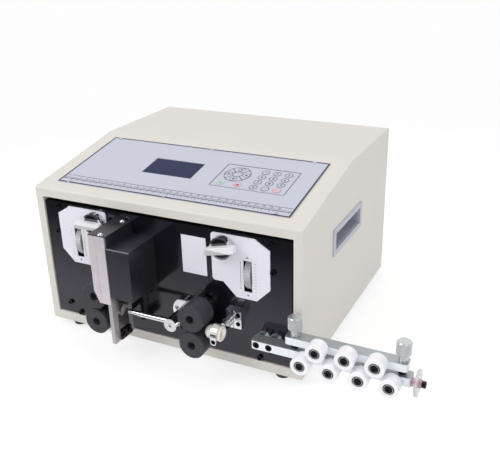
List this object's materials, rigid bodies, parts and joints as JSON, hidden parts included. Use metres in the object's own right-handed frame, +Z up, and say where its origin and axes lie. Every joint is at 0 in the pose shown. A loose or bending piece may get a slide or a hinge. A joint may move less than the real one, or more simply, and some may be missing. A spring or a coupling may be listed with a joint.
{
  "type": "wire cutting and stripping machine",
  "caption": "Bench machine that feeds, cuts and strips wire: cream cabinet, sloped keypad with display, rubber feed rollers, blade head, roller straightener.",
  "frame": {"origin": "centre of the bounding box on the bench plane under the rubber feet", "axes": "+Z up, -Y out of the front face where the rollers stand, +X to the operator's right, along the wire straightener"},
  "size_m": [0.5376, 0.397, 0.241],
  "materials": {
    "cream_paint": "satin",
    "grey_zinc": "satin",
    "black_gloss": "polished",
    "black_steel": "satin",
    "rubber": "matte",
    "overlay_film": "satin",
    "lcd": "polished",
    "bright_steel": "polished",
    "grey_abs": "satin",
    "black_abs": "satin",
    "red_switch": "satin",
    "silver_steel": "brushed",
    "alu": "satin",
    "motor_black": "satin",
    "board_green": "satin",
    "label_plate": "satin",
    "nylon": "satin",
    "ceramic": "polished",
    "clear_disc": "polished"
  },
  "bodies": {
    "cabinet": {"cabinet_shell": "cream_paint", "base_pan": "grey_zinc", "rear_panel": "cream_paint", "front_plate": "black_gloss", "case_screws": "black_steel", "feet": "rubber", "keypad_overlay": "overlay_film", "lcd_window": "lcd", "cover_screws": "bright_steel", "side_handles": "grey_abs", "fan_frame": "black_abs", "power_inlet": "black_abs", "power_supply": "grey_zinc", "control_board": "board_green", "gap_plates": "label_plate", "feed_frames": "alu", "feed_motors": "motor_black", "cutter_block": "silver_steel", "cutter_guard": "black_steel", "cutter_motor": "motor_black", "guide_clamp": "bright_steel", "eyelet": "ceramic", "base_bar": "alu", "lower_axles": "black_steel"},
    "inlet_lower_roller": {"in_lower_shaft": "bright_steel", "in_lower_roller": "rubber"},
    "inlet_gap_wheel": {"in_wheel": "bright_steel"},
    "inlet_lever": {"in_lever": "bright_steel"},
    "inlet_yoke": {"in_yoke": "alu"},
    "inlet_carriage": {"in_carriage": "alu"},
    "inlet_upper_roller": {"in_upper_shaft": "bright_steel", "in_upper_roller": "rubber"},
    "outlet_lower_roller": {"out_lower_shaft": "bright_steel", "out_lower_roller": "rubber"},
    "outlet_gap_wheel": {"out_wheel": "bright_steel"},
    "outlet_lever": {"out_lever": "bright_steel"},
    "outlet_yoke": {"out_yoke": "alu"},
    "outlet_carriage": {"out_carriage": "alu"},
    "outlet_upper_roller": {"out_upper_shaft": "bright_steel", "out_upper_roller": "rubber"},
    "cutter_pinion": {"cutter_pinion": "bright_steel"},
    "lower_blade_slide": {"lower_seat": "silver_steel", "lower_blade": "bright_steel"},
    "upper_blade_slide": {"upper_seat": "black_steel", "upper_blade": "bright_steel"},
    "swing_guide": {"swing_guide": "bright_steel"},
    "upper_bar": {"slide_bar": "alu", "upper_axles": "black_steel"},
    "thumbscrew_left": {"thumbscrew_left": "bright_steel"},
    "thumbscrew_right": {"thumbscrew_right": "bright_steel"},
    "straightener_l1": {"roller_l1": "nylon"},
    "straightener_l2": {"roller_l2": "nylon"},
    "straightener_l3": {"roller_l3": "nylon"},
    "straightener_l4": {"roller_l4": "nylon"},
    "straightener_u1": {"roller_u1": "nylon"},
    "straightener_u2": {"roller_u2": "nylon"},
    "straightener_u3": {"roller_u3": "nylon"},
    "guide_disc": {"guide_disc": "clear_disc"},
    "fan_rotor": {"fan_rotor": "black_abs"},
    "power_switch": {"power_switch": "red_switch"}
  },
  "joints": [
    {"name": "inlet_lower_spin", "type": "hinge", "parent": "cabinet", "child": "inlet_lower_roller", "pos_m": [-0.0097, -0.177, 0.054], "axis": [0, 1, 0], "continuous": true},
    {"name": "inlet_gap_turn", "type": "hinge", "parent": "cabinet", "child": "inlet_gap_wheel", "pos_m": [0.0466, -0.1245, 0.1382], "axis": [1, 0, 0], "range_deg": [0, 180.01]},
    {"name": "inlet_lever_turn", "type": "hinge", "parent": "cabinet", "child": "inlet_lever", "pos_m": [0.0158, -0.1545, 0.1735], "axis": [0, 1, 0], "range_deg": [0, 90.01]},
    {"name": "inlet_gap_lift", "type": "slide", "parent": "cabinet", "child": "inlet_yoke", "axis": [0, 0, 1], "range_m": [0, 0.002]},
    {"name": "inlet_release_lift", "type": "slide", "parent": "inlet_yoke", "child": "inlet_carriage", "axis": [0, 0, 1], "range_m": [0, 0.004]},
    {"name": "inlet_upper_spin", "type": "hinge", "parent": "inlet_carriage", "child": "inlet_upper_roller", "pos_m": [-0.0097, -0.177, 0.0906], "axis": [0, 1, 0], "continuous": true},
    {"name": "outlet_lower_spin", "type": "hinge", "parent": "cabinet", "child": "outlet_lower_roller", "pos_m": [-0.1522, -0.177, 0.054], "axis": [0, 1, 0], "continuous": true},
    {"name": "outlet_gap_turn", "type": "hinge", "parent": "cabinet", "child": "outlet_gap_wheel", "pos_m": [-0.2044, -0.1245, 0.1382], "axis": [1, 0, 0], "range_deg": [0, 180.01]},
    {"name": "outlet_lever_turn", "type": "hinge", "parent": "cabinet", "child": "outlet_lever", "pos_m": [-0.1717, -0.1545, 0.1735], "axis": [0, -1, 0], "range_deg": [0, 90.01]},
    {"name": "outlet_gap_lift", "type": "slide", "parent": "cabinet", "child": "outlet_yoke", "axis": [0, 0, 1], "range_m": [0, 0.002]},
    {"name": "outlet_release_lift", "type": "slide", "parent": "outlet_yoke", "child": "outlet_carriage", "axis": [0, 0, 1], "range_m": [0, 0.004]},
    {"name": "outlet_upper_spin", "type": "hinge", "parent": "outlet_carriage", "child": "outlet_upper_roller", "pos_m": [-0.1522, -0.177, 0.0906], "axis": [0, 1, 0], "continuous": true},
    {"name": "cutter_turn", "type": "hinge", "parent": "cabinet", "child": "cutter_pinion", "pos_m": [-0.1012, -0.166, 0.136], "axis": [0, 1, 0], "range_deg": [0, 64.47]},
    {"name": "lower_blade_rise", "type": "slide", "parent": "cabinet", "child": "lower_blade_slide", "axis": [0, 0, 1], "range_m": [0, 0.009]},
    {"name": "upper_blade_drop", "type": "slide", "parent": "cabinet", "child": "upper_blade_slide", "axis": [0, 0, -1], "range_m": [0, 0.009]},
    {"name": "guide_swing", "type": "hinge", "parent": "cabinet", "child": "swing_guide", "pos_m": [-0.0417, -0.177, 0.0723], "axis": [0, -1, 0], "range_deg": [0, 20], "stiffness_Nm_per_rad": 0.06, "springref_deg": -28.65},
    {"name": "bar_lift", "type": "slide", "parent": "cabinet", "child": "upper_bar", "axis": [0, 0, 1], "range_m": [0, 0.005]},
    {"name": "thumb_left_turn", "type": "hinge", "parent": "upper_bar", "child": "thumbscrew_left", "pos_m": [0.1138, -0.1595, 0.083], "axis": [0, 0, 1], "range_deg": [0, 1800.05]},
    {"name": "thumb_right_turn", "type": "hinge", "parent": "upper_bar", "child": "thumbscrew_right", "pos_m": [0.2413, -0.1595, 0.083], "axis": [0, 0, 1], "range_deg": [0, 1800.05]},
    {"name": "spin_l1", "type": "hinge", "parent": "cabinet", "child": "straightener_l1", "pos_m": [0.1293, -0.177, 0.059], "axis": [0, 1, 0], "continuous": true},
    {"name": "spin_l2", "type": "hinge", "parent": "cabinet", "child": "straightener_l2", "pos_m": [0.1639, -0.177, 0.059], "axis": [0, 1, 0], "continuous": true},
    {"name": "spin_l3", "type": "hinge", "parent": "cabinet", "child": "straightener_l3", "pos_m": [0.1985, -0.177, 0.059], "axis": [0, 1, 0], "continuous": true},
    {"name": "spin_l4", "type": "hinge", "parent": "cabinet", "child": "straightener_l4", "pos_m": [0.2331, -0.177, 0.059], "axis": [0, 1, 0], "continuous": true},
    {"name": "spin_u1", "type": "hinge", "parent": "upper_bar", "child": "straightener_u1", "pos_m": [0.1472, -0.177, 0.0806], "axis": [0, 1, 0], "continuous": true},
    {"name": "spin_u2", "type": "hinge", "parent": "upper_bar", "child": "straightener_u2", "pos_m": [0.1818, -0.177, 0.0806], "axis": [0, 1, 0], "continuous": true},
    {"name": "spin_u3", "type": "hinge", "parent": "upper_bar", "child": "straightener_u3", "pos_m": [0.2164, -0.177, 0.0806], "axis": [0, 1, 0], "continuous": true},
    {"name": "disc_spin", "type": "hinge", "parent": "cabinet", "child": "guide_disc", "pos_m": [0.2583, -0.1635, 0.0612], "axis": [1, 0, 0], "continuous": true},
    {"name": "fan_spin", "type": "hinge", "parent": "cabinet", "child": "fan_rotor", "pos_m": [-0.1752, 0.1815, 0.129], "axis": [0, 1, 0], "continuous": true},
    {"name": "switch_rock", "type": "hinge", "parent": "cabinet", "child": "power_switch", "pos_m": [0.0328, 0.1915, 0.102], "axis": [1, 0, 0], "range_deg": [-8, 0]}
  ],
  "couplings": [
    {"joint": "inlet_upper_spin", "follows": "inlet_lower_spin", "ratio": -1},
    {"joint": "inlet_gap_turn", "follows": "inlet_gap_lift", "rad_per_m": 1570.8},
    {"joint": "inlet_lever_turn", "follows": "inlet_release_lift", "rad_per_m": 392.7},
    {"joint": "outlet_upper_spin", "follows": "outlet_lower_spin", "ratio": -1},
    {"joint": "outlet_gap_turn", "follows": "outlet_gap_lift", "rad_per_m": 1570.8},
    {"joint": "outlet_lever_turn", "follows": "outlet_release_lift", "rad_per_m": 392.7},
    {"joint": "cutter_turn", "follows": "lower_blade_rise", "rad_per_m": 125},
    {"joint": "upper_blade_drop", "follows": "lower_blade_rise", "ratio": 1},
    {"joint": "thumb_left_turn", "follows": "bar_lift", "rad_per_m": 6283.2},
    {"joint": "thumb_right_turn", "follows": "bar_lift", "rad_per_m": 6283.2}
  ]
}
